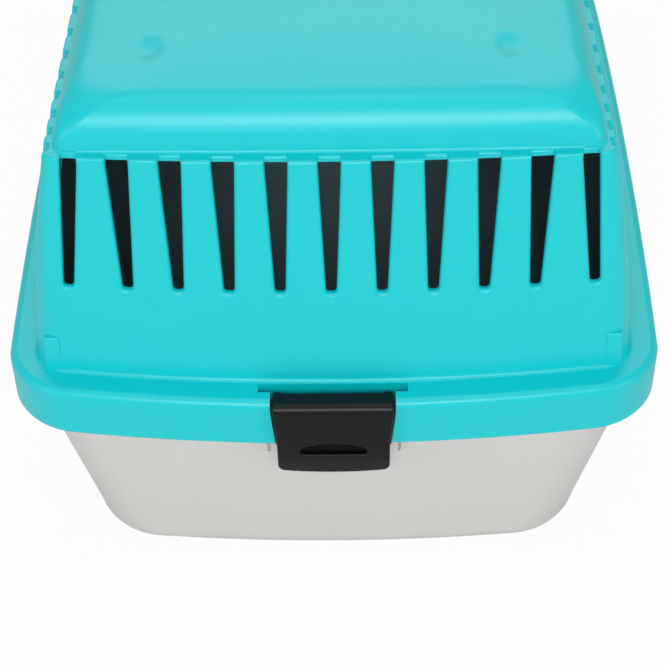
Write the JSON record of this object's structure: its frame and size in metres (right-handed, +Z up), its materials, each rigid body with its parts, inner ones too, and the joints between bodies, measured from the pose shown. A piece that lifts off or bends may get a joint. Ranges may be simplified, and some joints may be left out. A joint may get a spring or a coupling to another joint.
{
  "type": "pet carrier",
  "caption": "Two-shell plastic pet carrier with a vented domed top, a rimmed tub, snap clips, a grille door with a squeeze latch and a fold-flat carrying handle.",
  "frame": {"origin": "on the floor, under the middle of the bounding box", "axes": "+Z up, +Y towards the door end, +X to the right when seen from the rear end"},
  "size_m": [0.3224, 0.486, 0.2695],
  "materials": {
    "turquoise_plastic": "satin moulded",
    "grey_plastic": "satin moulded",
    "black_plastic": "satin moulded",
    "door_plastic": "satin moulded",
    "handle_plastic": "satin moulded",
    "spring_steel": "drawn wire"
  },
  "bodies": {
    "shells": {"lower_shell": "grey_plastic", "upper_shell": "turquoise_plastic"},
    "rear_clip": {"rear_clip": "black_plastic"},
    "left_clip": {"left_clip": "black_plastic"},
    "right_clip": {"right_clip": "black_plastic"},
    "door": {"door_leaf": "door_plastic", "latch_cover": "black_plastic", "upper_spring": "spring_steel", "lower_spring": "spring_steel"},
    "upper_bolt": {"upper_bolt": "black_plastic"},
    "lower_bolt": {"lower_bolt": "black_plastic"},
    "handle": {"carry_handle": "handle_plastic"}
  },
  "joints": [
    {"name": "rear_clip_hinge", "type": "hinge", "parent": "shells", "child": "rear_clip", "pos_m": [0, -0.2345, 0.126], "axis": [-1, 0, 0], "range_deg": [0, 110]},
    {"name": "left_clip_hinge", "type": "hinge", "parent": "shells", "child": "left_clip", "pos_m": [-0.15177, 0.15581, 0.126], "axis": [0.0351, 0.9994, 0], "range_deg": [0, 110]},
    {"name": "right_clip_hinge", "type": "hinge", "parent": "shells", "child": "right_clip", "pos_m": [0.15177, 0.15581, 0.126], "axis": [0.0351, -0.9994, 0], "range_deg": [0, 110]},
    {"name": "door_hinge", "type": "hinge", "parent": "shells", "child": "door", "pos_m": [-0.0895, 0.23, 0.135], "axis": [0, 0, 1], "range_deg": [0, 105]},
    {"name": "upper_bolt_slide", "type": "slide", "parent": "door", "child": "upper_bolt", "axis": [0, 0, 1], "range_m": [0, 0.0045], "stiffness_N_per_m": 150, "springref_m": 0.012, "deforming": ["upper_spring"]},
    {"name": "lower_bolt_slide", "type": "slide", "parent": "door", "child": "lower_bolt", "axis": [0, 0, -1], "range_m": [0, 0.0045], "stiffness_N_per_m": 150, "springref_m": 0.012, "deforming": ["lower_spring"]},
    {"name": "handle_hinge", "type": "hinge", "parent": "shells", "child": "handle", "pos_m": [0, 0, 0.2645], "axis": [0, -1, 0], "range_deg": [0, 180]}
  ]
}
